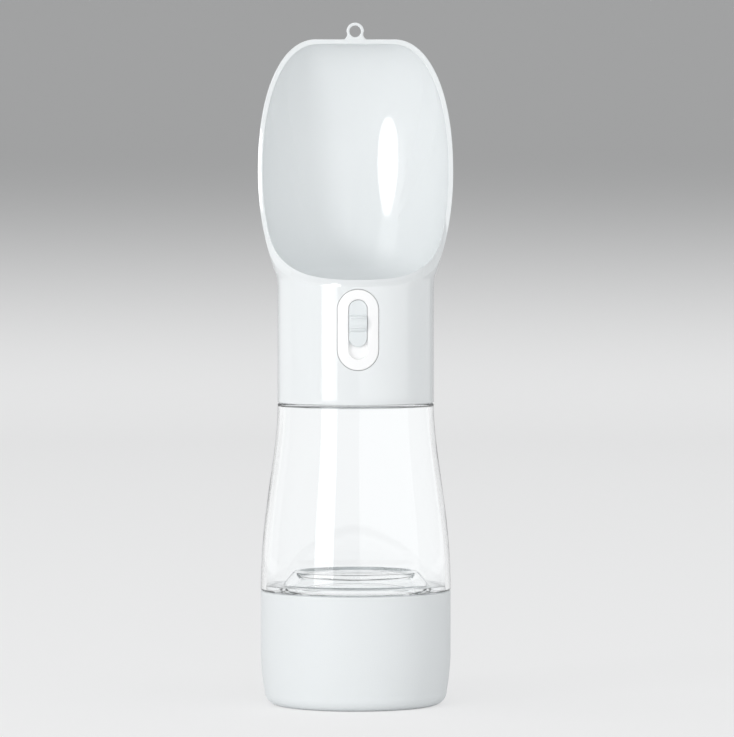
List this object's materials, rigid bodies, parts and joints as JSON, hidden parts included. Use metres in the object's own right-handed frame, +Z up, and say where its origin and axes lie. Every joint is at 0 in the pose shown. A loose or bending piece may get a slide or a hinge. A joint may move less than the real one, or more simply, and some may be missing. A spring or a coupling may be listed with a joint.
{
  "type": "dog travel water bottle",
  "caption": "Upright travel bottle for dogs: scoop-shaped drinking bowl with a lockable push-button valve on a clear water bottle, and a screw-on food cup below.",
  "frame": {"origin": "middle of the food cup's underside, on the surface that the bottle stands on", "axes": "+Z up along the bottle's axis, -Y towards the button and the open side of the bowl, +X to the right seen from the front"},
  "size_m": [0.0782, 0.0758, 0.2723],
  "materials": {
    "cup_plastic": "fine satin",
    "silicone": "translucent matt",
    "clear_plastic": "polished, clear",
    "head_plastic": "polished",
    "inner_plastic": "as moulded",
    "spring_steel": "bright",
    "seal_rubber": "matt",
    "button_plastic": "satin white",
    "slider_plastic": "satin pale blue-grey"
  },
  "bodies": {
    "cup": {"food_cup": "cup_plastic"},
    "cup_seal": {"cup_gasket": "silicone"},
    "bottle": {"bottle_base": "clear_plastic", "bottle_wall": "clear_plastic"},
    "neck_seal": {"neck_gasket": "silicone"},
    "head": {"bowl_head": "head_plastic", "valve_housing": "inner_plastic", "outlet_gasket": "silicone", "spring_cap": "inner_plastic", "return_spring": "spring_steel"},
    "button": {"push_button": "button_plastic", "valve_stem": "inner_plastic", "front_o_ring": "seal_rubber", "middle_o_ring": "seal_rubber", "rear_o_ring": "seal_rubber", "stem_screw": "spring_steel"},
    "lock": {"lock_slider": "slider_plastic", "lock_retainer": "slider_plastic"}
  },
  "joints": [
    {"name": "bottle_lift", "type": "slide", "parent": "cup", "child": "cup_seal", "axis": [0, 0, 1], "range_m": [0, 0.005]},
    {"name": "bottle_turn", "type": "hinge", "parent": "cup_seal", "child": "bottle", "pos_m": [0, 0, 0.04], "axis": [0, 0, 1], "range_deg": [0, 151]},
    {"name": "head_lift", "type": "slide", "parent": "bottle", "child": "neck_seal", "axis": [0, 0, 1], "range_m": [0, 0.005]},
    {"name": "head_turn", "type": "hinge", "parent": "neck_seal", "child": "head", "pos_m": [0, 0, 0.125], "axis": [0, 0, 1], "range_deg": [0, 151]},
    {"name": "button_press", "type": "slide", "parent": "head", "child": "button", "axis": [0, 1, 0], "range_m": [0, 0.004], "stiffness_N_per_m": 800, "springref_m": -0.004, "deforming": ["return_spring"]},
    {"name": "lock_slide", "type": "slide", "parent": "button", "child": "lock", "axis": [0, 0, -1], "range_m": [0, 0.0047]}
  ],
  "couplings": [
    {"joint": "bottle_turn", "follows": "bottle_lift", "rad_per_m": 523.6},
    {"joint": "head_turn", "follows": "head_lift", "rad_per_m": 523.6}
  ]
}
